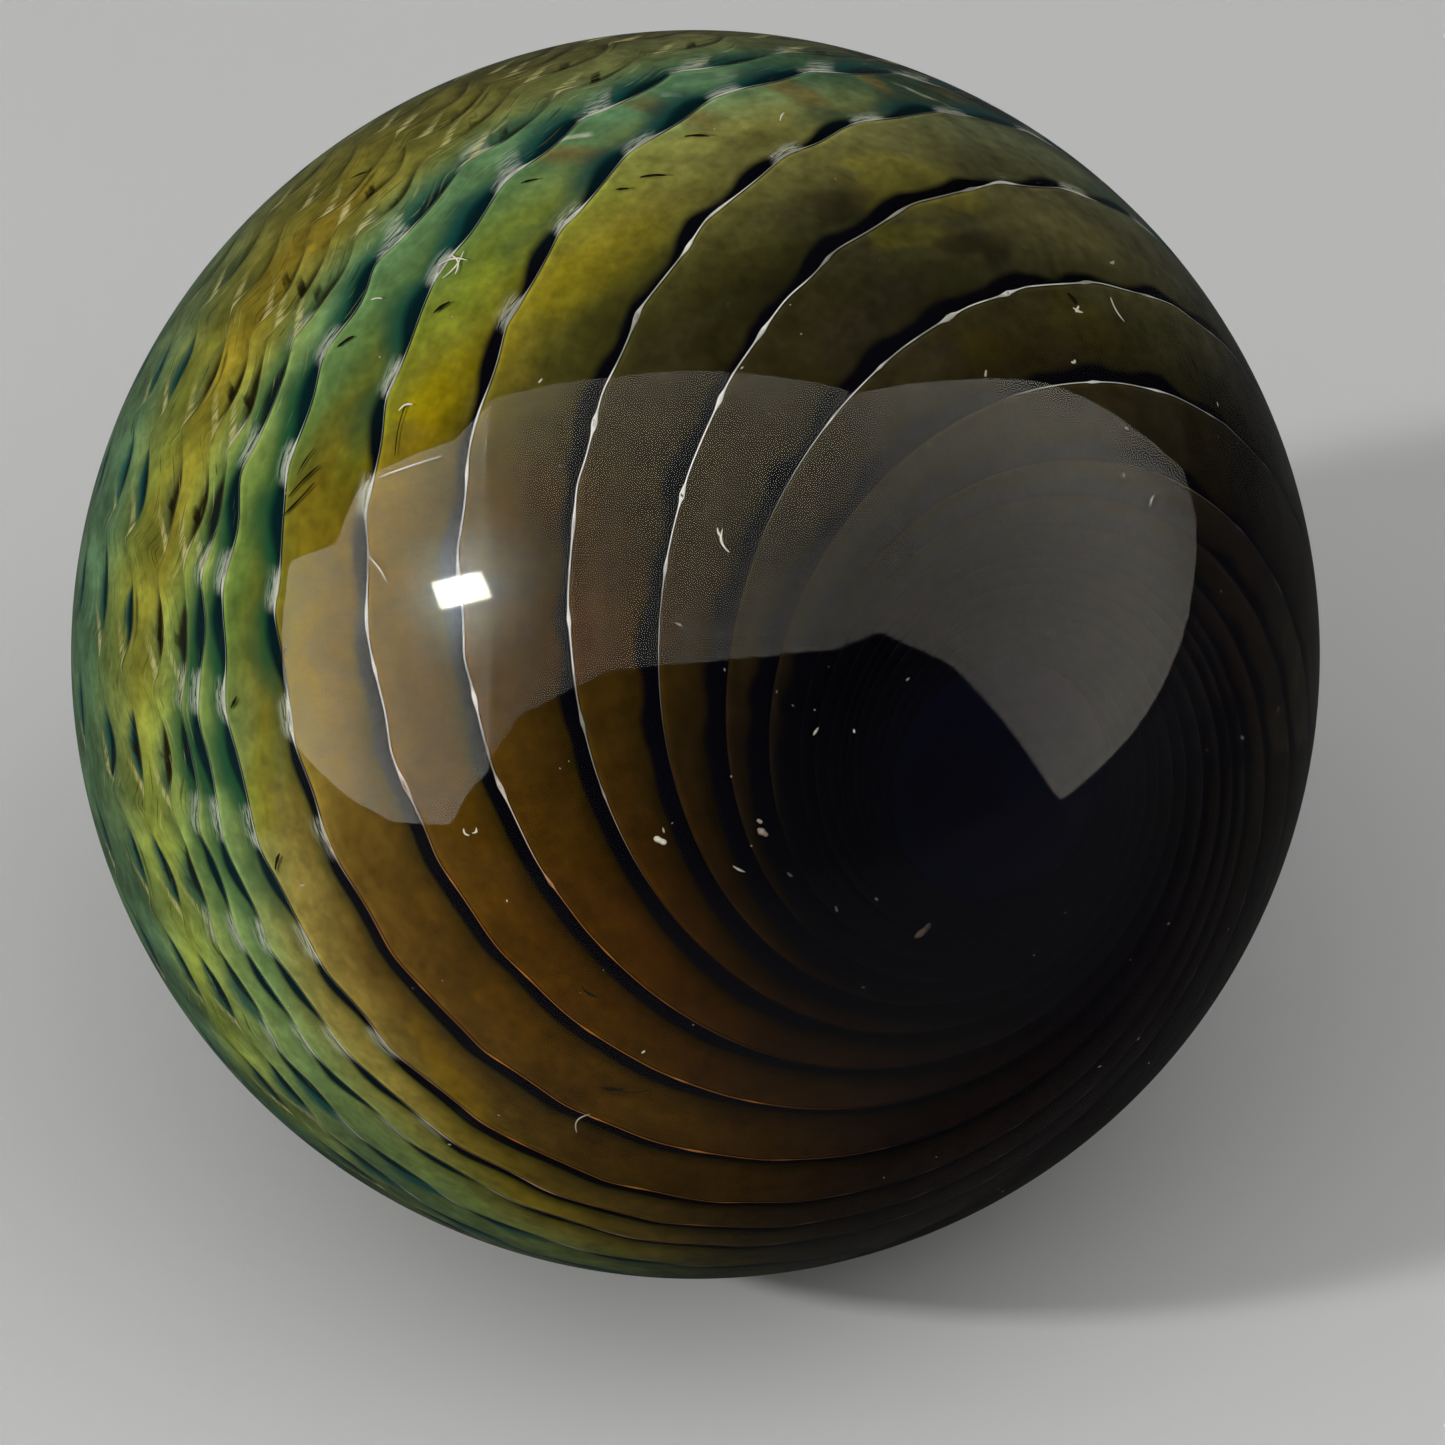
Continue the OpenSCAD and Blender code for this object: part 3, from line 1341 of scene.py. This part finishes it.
@dataclass
class Petals:
    """Thirteen long petals, each a closed shell that tucks under its neighbour on the eye's side.

    Depths are shares of the ball's radius, and spans are polar angles in degrees. The section's top is given
    by shares of the petal's width, from the rounded lip to the cover, and its underside by the same, back.
    """

    ball: float
    swirl: Swirl
    rim_share: float = 0.95
    sink: float = 0.011
    belt_sink: float = 0.012
    sink_curve: float = 1.25
    pillow: float = 0.006
    thick: float = 0.010
    eye_sink: float = 0.015
    belt_start: Span = (74.0, 96.0)
    eye_end: Span = (9.0, 22.0)
    tail_start: Span = (166.0, 173.0)
    top: tuple[float, ...] = (
        0.0, 0.01, 0.03, 0.06, 0.11, 0.18, 0.27, 0.38, 0.5, 0.62, 0.73, 0.83, 0.91, 0.97, 1.03, 1.12,
    )
    underside: tuple[float, ...] = (1.3, 1.05, 0.7, 0.35, 0.1, 0.02)
    lip_depths: tuple[float, ...] = (0.5, 0.16, 0.03)
    last_depth: float = 0.82
    rows: int = 860

    def across(self) -> tuple[np.ndarray, np.ndarray]:
        """The petal's section.

        Returns:
            Shares of its width, and depths as shares of its thickness, along the top and back beneath.
        """
        depth = np.concatenate([np.zeros(len(self.top)), np.ones(len(self.underside))])
        depth[: len(self.lip_depths)] = self.lip_depths
        depth[-1] = self.last_depth
        return np.array(self.top + self.underside), depth

    def one(self, arm: int) -> bpy.types.Object:
        """One petal.

        The places are a function of spin along the petal and share across it. The share runs from its own
        lip to the lip that covers it, at a fixed spin, and its height falls from the rim to the tuck.

        Args:
            arm: which petal.

        Returns:
            The object.
        """
        swirl = self.swirl
        spin = swirl.stations(arm, self.rows)[:, None]
        width, depth = (a[None, :] for a in self.across())
        lip = swirl.lip(arm, spin)
        cover = swirl.lip(arm - 1, spin + (FULL_TURN if arm == 0 else 0.0))
        polar = lip + (cover - lip) * width
        own = swirl.edge(arm, spin)
        belt = smooth_rise(own, *self.belt_start)
        fall = (self.sink + self.belt_sink * belt) * width**self.sink_curve
        arch = np.sin(np.pi * swirl.rib(spin)) * np.sin(np.pi * np.clip(width, 0.0, 1.0))
        eye, tail = smooth_rise(own, *self.eye_end), smooth_rise(own, *self.tail_start)
        height = self.pillow * belt * arch - fall * eye - self.eye_sink * (1.0 - eye + tail)
        radius = self.ball * (self.rim_share + height - self.thick * depth)
        rings = swirl.points(polar, spin + 0.0 * width, radius)
        run = np.concatenate([[0.0], np.cumsum(np.linalg.norm(np.diff(rings[:, 0], axis=0), axis=1))])
        attributes = {
            "polar": polar,
            "run": run[:, None] / MM + 0.0 * width,
            "past_lip": polar - cover,
            "to_lip": lip - polar,
        }
        attributes.update({key: wave + 0.0 * width for key, wave in swirl.marks(spin).items()})
        return sleeve(f"petal_{arm + 1:02d}", rings, attributes)

    def build(self, material: bpy.types.Material) -> list[bpy.types.Object]:
        """All the petals, in the petal glass."""
        return [hand_over(self.one(arm), material) for arm in range(len(self.swirl.starts))]


@dataclass
class SilverEdges:
    """A silver thread on each petal's lip, thicker at the foot of each arch.

    Half widths and spans are in degrees, and depths are shares of the ball's radius.
    """

    ball: float
    swirl: Swirl
    rim_share: float = 0.951
    thin: float = 0.068
    swell: float = 0.31
    least: float = 0.006
    flat: float = 0.45
    dip: float = 0.02
    dip_end: Span = (9.0, 28.0)
    shown: Span = (30.0, 44.0)
    belt_start: Span = (82.0, 90.0)
    belt_loss: float = 0.65
    rows_start: Span = (60.0, 68.0)
    rows_loss: float = 0.85
    rows_end: Span = (80.0, 85.0)
    dull: float = 0.55
    dull_left: Span = (12.0, 44.0)
    amber_at: float = 197.0
    amber_start: Span = (-0.35, 0.1)
    weakest: float = 0.35
    bead_half: float = 0.085
    bead_start: Span = (34.0, 40.0)
    cusp_half: float = 0.16
    cusp_loss: float = 0.07
    cusp_narrows: Span = (80.0, 88.0)
    cusp_slip: float = 1.6
    cusp_start: Span = (57.0, 66.0)
    rows: int = 900
    sides: int = 8

    def one(self, arm: int) -> bpy.types.Object:
        """One thread: a flattened tube along the lip.

        Args:
            arm: which petal.

        Returns:
            The object.
        """
        swirl = self.swirl
        spin = swirl.stations(arm, self.rows)[:, None]
        ring = round_turn(self.sides)
        lip = swirl.lip(arm, spin)
        node = self.beads(arm, spin, lip)
        shown = smooth_rise(lip, *self.shown) * (1.0 - self.belt_loss * smooth_rise(lip, *self.belt_start))
        amber = smooth_rise(np.cos(np.radians(spin - self.amber_at)), *self.amber_start)
        dull = (1.0 - self.dull * amber) * (1.0 - self.dull * smooth_rise(-spin, *self.dull_left))
        between = 1.0 - self.rows_loss * smooth_rise(lip, *self.rows_start)
        between = between - (1.0 - self.rows_loss) * smooth_rise(lip, *self.rows_end)
        half = (self.thin * between + self.swell * node) * shown * dull + self.least
        polar = lip + half * np.cos(ring)
        radius = self.rim_share + np.radians(half) * self.flat * np.sin(ring)
        radius = self.ball * (radius - self.dip * (1.0 - smooth_rise(lip, *self.dip_end)))
        rings = swirl.points(polar, spin + 0.0 * ring, radius)
        attributes = {"polar": polar, "node": node + 0.0 * ring, "side": np.cos(ring) + 0.0 * spin}
        attributes.update({key: wave + 0.0 * ring for key, wave in swirl.marks(spin).items()})
        return sleeve(f"silver_edge_{arm + 1:02d}", rings, attributes)

    def beads(self, arm: int, spin: np.ndarray, lip: np.ndarray) -> np.ndarray:
        """How much the thread swells: in a bead beside each blot near the eye, and at each cusp in the rows.

        Args:
            arm: which petal.
            spin: the spins along its lip.
            lip: the polar angles there.

        Returns:
            A hump from 0 to 1 in each scale, of a width, place and height that differ from one to the next.
        """
        swirl = self.swirl
        scale = np.floor((spin - swirl.rib_start) * swirl.ribs / FULL_TURN)
        chance = np.mod(scale * 37.0 + arm * 53.0, 17.0) / 17.0
        strength = self.weakest + (1.0 - self.weakest) * chance
        apart = np.mod(swirl.rib(spin + 0.9 * np.sin(0.31 * spin + arm)) + 0.25, 1.0) - 0.5
        odd = np.exp(-((apart / self.bead_half) ** 2)) * strength
        near = swirl.rib(spin + self.cusp_slip)
        narrow = self.cusp_half - self.cusp_loss * smooth_rise(lip, *self.cusp_narrows)
        cusp = np.exp(-((np.minimum(near, 1.0 - near) / narrow) ** 2)) * strength
        rows = smooth_rise(lip, *self.cusp_start)
        return odd * smooth_rise(lip, *self.bead_start) * (1.0 - rows) + cusp * rows

    def build(self, material: bpy.types.Material) -> list[bpy.types.Object]:
        """All the threads, in the silver film."""
        return [hand_over(self.one(arm), material) for arm in range(len(self.swirl.starts))]


IN_THE_GLASS = 0.957
ON_THE_GLASS = 0.9988


@dataclass(frozen=True)
class Stroke:
    """A fine mark, from one place to another, each a spin and a polar angle.

    Its width and its bend to the side are in degrees, and its tone runs from 0, dark, to 1, light.
    """

    start: Span
    end: Span
    wide: float
    bend: float
    tone: float


INCLUSIONS: tuple[Stroke, ...] = (
    Stroke((23.5, 68.0), (25.6, 69.2), 0.35, 0.15, 0.0),
    Stroke((27.4, 68.6), (28.4, 69.3), 0.3, 0.0, 0.0),
    Stroke((16.6, 70.9), (18.6, 72.0), 0.4, 0.15, 0.0),
    Stroke((58.6, 68.2), (63.9, 66.2), 0.12, 0.2, 0.0),
    Stroke((48.0, 71.3), (49.8, 71.9), 0.35, 0.1, 0.0),
    Stroke((67.8, 73.6), (71.6, 75.5), 0.22, 0.1, 0.0),
    Stroke((69.4, 73.2), (73.4, 75.3), 0.22, -0.1, 0.0),
    Stroke((66.4, 75.0), (69.4, 75.6), 0.16, 0.1, 0.0),
    Stroke((55.4, 78.1), (57.0, 79.1), 0.34, 0.1, 0.0),
    Stroke((32.6, 76.0), (34.0, 76.9), 0.3, 0.1, 0.0),
    Stroke((138.6, 47.6), (140.2, 45.8), 0.5, 0.1, 0.0),
    Stroke((139.6, 46.8), (142.2, 43.6), 0.16, 0.3, 0.0),
    Stroke((123.4, 43.4), (125.6, 42.4), 0.3, 0.2, 0.0),
    Stroke((105.4, 71.0), (107.2, 71.9), 0.3, 0.1, 0.0),
    Stroke((85.0, 70.7), (87.0, 71.3), 0.3, 0.1, 0.0),
    Stroke((91.0, 76.0), (92.2, 76.7), 0.3, 0.0, 0.0),
    Stroke((-18.2, 48.0), (-17.0, 49.0), 0.55, 0.1, 0.0),
    Stroke((-39.6, 50.0), (-38.2, 51.1), 0.5, 0.1, 0.0),
    Stroke((40.0, 95.4), (41.2, 97.2), 0.3, 0.2, 0.0),
    Stroke((58.6, 67.4), (59.8, 68.4), 0.22, 0.3, 1.0),
    Stroke((61.8, 61.8), (66.6, 66.8), 0.14, 0.0, 1.0),
    Stroke((43.6, 73.4), (45.6, 75.6), 0.2, 0.5, 1.0),
    Stroke((45.4, 73.2), (44.0, 75.4), 0.2, 0.5, 1.0),
    Stroke((43.0, 74.6), (46.4, 74.0), 0.16, -0.4, 1.0),
    Stroke((7.6, 72.0), (8.8, 70.7), 0.16, 0.1, 1.0),
    Stroke((51.0, 78.2), (51.6, 79.3), 0.16, 0.1, 1.0),
    Stroke((76.0, 61.5), (74.0, 64.5), 0.12, 0.2, 1.0),
    Stroke((141.6, 50.6), (143.4, 53.4), 0.14, 0.6, 0.7),
)

DUST: tuple[Stroke, ...] = (
    Stroke((101.2, 33.1), (102.3, 32.1), 0.6, 0.0, 0.72),
    Stroke((99.6, 32.3), (100.5, 32.2), 0.16, 0.0, 0.6),
    Stroke((100.8, 24.1), (102.6, 23.3), 0.6, 0.0, 0.36),
    Stroke((98.8, 24.1), (99.6, 23.7), 0.36, 0.0, 0.45),
    Stroke((108.0, 26.6), (109.7, 25.7), 0.2, 0.05, 0.6),
    Stroke((150.8, 15.8), (152.3, 14.0), 0.7, 0.1, 0.1),
    Stroke((-22.6, 49.6), (-24.4, 47.4), 0.2, 0.3, 0.9),
    Stroke((-15.9, 46.1), (-17.4, 46.0), 0.3, 0.1, 1.0),
    Stroke((-16.2, 45.7), (-16.9, 46.6), 0.26, 0.0, 1.0),
    Stroke((51.8, 36.2), (52.5, 35.5), 0.2, 0.1, 0.9),
    Stroke((51.4, 35.8), (53.7, 34.1), 0.2, 0.4, 0.9),
    Stroke((100.1, 50.1), (100.9, 49.6), 0.2, 0.2, 0.9),
    Stroke((100.6, 49.3), (99.9, 48.9), 0.2, 0.2, 0.9),
    Stroke((-23.8, 54.6), (-24.6, 55.3), 0.3, 0.1, 0.6),
    Stroke((-14.2, 39.8), (-15.0, 40.2), 0.3, 0.1, 0.8),
    Stroke((-32.6, 30.8), (-32.4, 29.5), 0.2, 0.1, 0.6),
    Stroke((129.7, 15.9), (130.9, 15.8), 0.22, 0.0, 0.4),
)


@dataclass
class Marks:
    """Fine marks at one depth in the ball: bits caught over the petals, or dust on the outside."""

    name: str
    ball: float
    swirl: Swirl
    share: float
    strokes: Sequence[Stroke]
    rows: int = 12
    sides: int = 8
    flat: float = 0.25
    blunt: float = 0.08
    taper: float = 0.6

    def one(self, number: int, stroke: Stroke) -> bpy.types.Object:
        """One mark: a flattened tube that tapers at both ends and bends to the side.

        Args:
            number: its number in the row.
            stroke: where it lies.

        Returns:
            The object.
        """
        share = np.linspace(0.0, 1.0, self.rows)[:, None]
        start, end = np.array(stroke.start), np.array(stroke.end)
        shrink = np.array([math.sin(math.radians(start[1])), 1.0])
        along = unit((end - start) * shrink)
        across = np.array([-along[1], along[0]]) / shrink
        line = start + (end - start) * share + across * stroke.bend * np.sin(np.pi * share)
        inner = self.blunt + (1.0 - 2.0 * self.blunt) * share
        uneven = 1.0 + 0.18 * np.sin(9.0 * share + 2.3 * number)
        half = 0.5 * stroke.wide * np.sin(np.pi * inner) ** self.taper * uneven
        ring = round_turn(self.sides)
        spin = line[:, :1] + across[0] * half * np.cos(ring)
        polar = line[:, 1:] + across[1] * half * np.cos(ring)
        radius = self.ball * (self.share + np.radians(half) * self.flat * np.sin(ring))
        rings = self.swirl.points(polar, spin, radius)
        tone = {"tone": np.full(rings.shape[:2], stroke.tone)}
        return sleeve(f"{self.name}_{number:02d}", rings, tone)

    def build(self, material: bpy.types.Material) -> bpy.types.Object:
        """All the marks as one piece."""
        parts = [self.one(number, stroke) for number, stroke in enumerate(self.strokes)]
        return hand_over(joined(self.name, parts), material)


@dataclass
class Grit:
    """Specks of dust too small to place one by one."""

    count: int = 130
    seed: int = 11
    narrowest: float = 0.08
    widest: float = 0.24
    cap: Span = (0.01, 0.75)
    spins: Span = (-90.0, 270.0)
    lengths: Span = (1.0, 3.5)
    tones: Span = (0.2, 0.9)

    def strokes(self) -> list[Stroke]:
        """Short strokes, scattered evenly over a cap about the eye; most are near the narrowest.

        The cap's depth is drawn evenly, which is what spreads places evenly over a sphere.

        Returns:
            The strokes.
        """
        draw = np.random.default_rng(self.seed)
        specks = []
        for _ in range(self.count):
            polar = math.degrees(math.acos(1.0 - draw.uniform(*self.cap)))
            spin = draw.uniform(*self.spins)
            wide = self.narrowest + (self.widest - self.narrowest) * draw.uniform() ** 3
            turn, long = draw.uniform(0.0, 2.0 * math.pi), wide * draw.uniform(*self.lengths)
            aside = long * math.cos(turn) / math.sin(math.radians(polar))
            end = (spin + aside, polar + long * math.sin(turn))
            specks.append(Stroke((spin, polar), end, wide, 0.0, draw.uniform(*self.tones)))
        return specks


# ---------------------------------------------------------------- the studio


@dataclass(frozen=True)
class Gleam:
    """A bright shape in the room that the glass mirrors.

    It stands at an azimuth and elevation from the ball, at a distance in metres, and its outline is in
    millimetres across and up from there. Where fade is set, it dims to nothing at that many metres out.
    Clear is added to its glow, so that no gleam hides another.
    """

    name: str
    toward: Span
    outline: Sequence[Span]
    radiance: float
    away: float = 0.1
    fade: float = 0.0
    colour: Colour = (1.0, 0.96, 0.82)

    def material(self) -> bpy.types.Material:
        """A plain glow, which no lamp sampling looks for.

        Returns:
            The material.
        """
        paint = Paint(self.name)
        strength: Wire | float = self.radiance
        if self.fade:
            away = paint.node("ShaderNodeVectorMath", {"operation": "LENGTH"}, {0: paint.place()})
            share = paint.rise(paint.wire(away, "Value"), self.fade, 0.0)
            strength = share * share * self.radiance
        glow = paint.node("ShaderNodeEmission", {}, {"Color": (*self.colour, 1.0), "Strength": strength})
        clear = paint.node("ShaderNodeBsdfTransparent")
        both = paint.node("ShaderNodeAddShader", {}, {0: paint.wire(glow), 1: paint.wire(clear)})
        face = paint.close(both)
        face.cycles.emission_sampling = "NONE"
        return face


def sheet(across: float, up: float) -> tuple[Span, ...]:
    """The corners of a rectangle about its middle, from its width and height."""
    return tuple((across * x / 2.0, up * y / 2.0) for x, y in ((-1, -1), (1, -1), (1, 1), (-1, 1)))


GLEAMS: tuple[Gleam, ...] = (
    Gleam(
        "left_gleam",
        (-66.0, 21.0),
        (
            (-27, -24), (-27, 20), (-10, 25), (-8, 40), (-4, 46), (20, 62), (28, 82), (33, 62), (42, 30),
            (46, -5), (42, -40), (33, -45), (23, -55), (3, -50), (-10, -41),
        ),
        16.0,
    ),
    Gleam(
        "room_gleam",
        (45.0, 50.0),
        (
            (-205, 140), (-80, 80), (-20, 57), (5, 48), (40, 58), (95, 77), (235, 108), (380, 145),
            (380, 105), (260, 0), (180, -55), (120, -88), (97, -75), (30, -32), (5, -24), (-8, -30),
            (-95, -45), (-190, -88), (-320, -180), (-220, -50), (-195, 20),
        ),
        8.0,
    ),
    Gleam("spot_gleam", (-52.6, 38.3), ((-7.5, 2), (6, 4.5), (9, -2), (-4.5, -4.5)), 350.0, 0.09),
    Gleam("haze_gleam", (-51.7, 39.0), sheet(64.7, 51.5), 48.0, 0.085, 0.026, (0.8, 0.92, 1.0)),
)


@dataclass(frozen=True)
class Lamp:
    """A soft rectangular lamp: its middle, where it shines, its width and height, and its radiance."""

    name: str
    place: Sequence[float]
    toward: Sequence[float]
    size: Span
    radiance: float


SPOT_FROM = heading(-59.3, 37.0)
SPOT_AWAY = 0.75
LAMPS: tuple[Lamp, ...] = (
    Lamp("window", (0.12, -0.40, 0.76), (0.0, 0.0, -1.0), (1.5, 0.92), 1.75),
    Lamp("spot", SPOT_FROM * SPOT_AWAY, -SPOT_FROM, (0.085, 0.045), 230.0),
)


@dataclass
class Studio:
    """A pale sweep, soft lamps and the camera."""

    floor_height: float
    flat: float = 1.6
    wall: float = 1.5
    middle: float = 0.002
    bend_start: float = 0.6
    around: int = 96
    rows: int = 60
    paper: Colour = (0.5, 0.5, 0.4925)
    paper_light: Colour = (0.515, 0.515, 0.507275)
    mottle: Grain = Grain(14.0, 3.0)
    sky: Colour = (0.9, 0.92, 1.0)
    sky_strength: float = 0.15
    view_elevation: float = 40.0
    distance: float = 0.304
    lens: float = 248.45
    sensor: float = 36.0
    nearest: float = 0.01
    shift: Span = (0.0187, -0.0471)

    def sweep(self) -> bpy.types.Object:
        """A round floor that curves up into a wall all round.

        Returns:
            The floor: rings whose height is the wall's times 1 minus the cosine of a bend that grows outward.
        """
        turn = round_turn(self.around)
        run = np.linspace(self.middle, 1.0, self.rows)[:, None]
        bend = 0.5 * np.pi * smooth_rise(run, self.bend_start, 1.0)
        out = self.flat * run
        up = self.floor_height + self.wall * (1.0 - np.cos(bend))
        ring = np.stack([out * np.cos(turn), out * np.sin(turn), up + 0.0 * turn], -1)
        rows, cols = ring.shape[:2]
        index = np.arange(rows * cols).reshape(rows, cols)
        ahead = np.roll(index, -1, axis=1)
        faces = np.stack([index[:-1], index[1:], ahead[1:], ahead[:-1]], -1).reshape(-1, 4).tolist()
        faces.append(index[0].tolist())
        mesh = bpy.data.meshes.new("sweep")
        mesh.from_pydata(ring.reshape(-1, 3).tolist(), [], faces)
        mesh.shade_smooth()
        paint = Paint("pale_paper")
        mottle = paint.noise(paint.place(), self.mottle)
        colour = paint.ramp(mottle, [(0.3, self.paper), (0.7, self.paper_light)])
        look = {"Base Color": colour, "Roughness": 0.9, "Specular IOR Level": 0.1}
        mesh.materials.append(paint.finish(look))
        floor = linked("sweep", mesh)
        return floor

    def lamp(self, lamp: Lamp) -> None:
        """A soft lamp, which no gleam shows. Its power is its radiance times pi times its area.

        Args:
            lamp: what it is like.
        """
        light = bpy.data.lights.new(lamp.name, "AREA")
        light.shape = "RECTANGLE"
        light.size, light.size_y = lamp.size
        light.energy = lamp.radiance * math.pi * math.prod(lamp.size)
        holder = linked(lamp.name, light)
        self.aim(holder, lamp.place, lamp.toward)
        holder.visible_glossy = False

    def aim(self, holder: bpy.types.Object, place: Sequence[float], toward: Sequence[float]) -> None:
        """Places a lamp or card, turned so that its mirror image in the ball stands upright.

        Args:
            holder: the lamp or card, which the camera doesn't see.
            place: where its middle is.
            toward: the direction that it faces.
        """
        holder.location = tuple(place)
        back = -unit(toward)
        half = unit(heading(0.0, self.view_elevation) + unit(place))
        right = np.array([1.0, 0.0, 0.0])
        side = right - 2.0 * (right @ half) * half
        side = unit(side - (side @ back) * back)
        over = np.cross(back, side)
        holder.rotation_euler = Matrix(np.stack([side, over, back], 1).tolist()).to_euler()
        holder.visible_camera = False
        holder.visible_transmission = False

    def card(self, gleam: Gleam) -> None:
        """A glowing card that only shows as a gleam on polished glass and lights nothing.

        Args:
            gleam: what it is like.
        """
        mesh = bpy.data.meshes.new(gleam.name)
        corners = [(across * MM, up * MM, 0.0) for across, up in gleam.outline]
        mesh.from_pydata(corners, [], [tuple(range(len(corners)))])
        mesh.materials.append(gleam.material())
        holder = linked(gleam.name, mesh)
        place = heading(*gleam.toward) * gleam.away
        self.aim(holder, place, -place)
        holder.visible_diffuse = False
        holder.visible_shadow = False

    def camera(self) -> None:
        """The camera, level with the horizon and looking down on the ball."""
        shot = bpy.data.cameras.new("camera")
        shot.lens = self.lens
        shot.sensor_width = self.sensor
        shot.shift_x, shot.shift_y = self.shift
        shot.clip_start = self.nearest
        holder = linked("camera", shot)
        holder.location = (heading(0.0, self.view_elevation) * self.distance).tolist()
        holder.rotation_euler = (math.radians(90.0 - self.view_elevation), 0.0, 0.0)
        bpy.context.scene.camera = holder

    def build(self) -> None:
        """Sets the whole studio up."""
        scene = bpy.context.scene
        scene.view_settings.view_transform = "Standard"
        world = bpy.data.worlds.new("room")
        scene.world = world
        world.use_nodes = True
        sky = world.node_tree.nodes["Background"].inputs
        sky["Color"].default_value = (*self.sky, 1.0)
        sky["Strength"].default_value = self.sky_strength
        self.sweep()
        for lamp in LAMPS:
            self.lamp(lamp)
        for gleam in GLEAMS:
            self.card(gleam)
        self.camera()


def main() -> None:
    """Builds the marble and the studio, and reports each piece."""
    logging.basicConfig(level=logging.INFO, format="%(name)s: %(message)s")
    low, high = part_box(BALL_NODE)
    radius = (high.z - low.z) / 2.0
    swirl = Swirl()
    pieces = [ClearBall(radius).build(ClearGlass().material())]
    pieces.append(DarkCore(radius, swirl).build(DarkGlass().material()))
    pieces += Petals(radius, swirl).build(PetalGlass().material())
    pieces += SilverEdges(radius, swirl).build(SilverFilm().material())
    speck = Speck().material()
    pieces.append(Marks("inclusions", radius, swirl, IN_THE_GLASS, INCLUSIONS).build(speck))
    pieces.append(Marks("dust", radius, swirl, ON_THE_GLASS, (*DUST, *Grit().strokes())).build(speck))
    for piece in pieces:
        log.info("%s: %d faces", piece.name, len(piece.data.polygons))
    log.info("faces in all: %d", sum(len(p.data.polygons) for p in pieces))
    Studio(low.z).build()


if __name__ == "__main__":
    main()
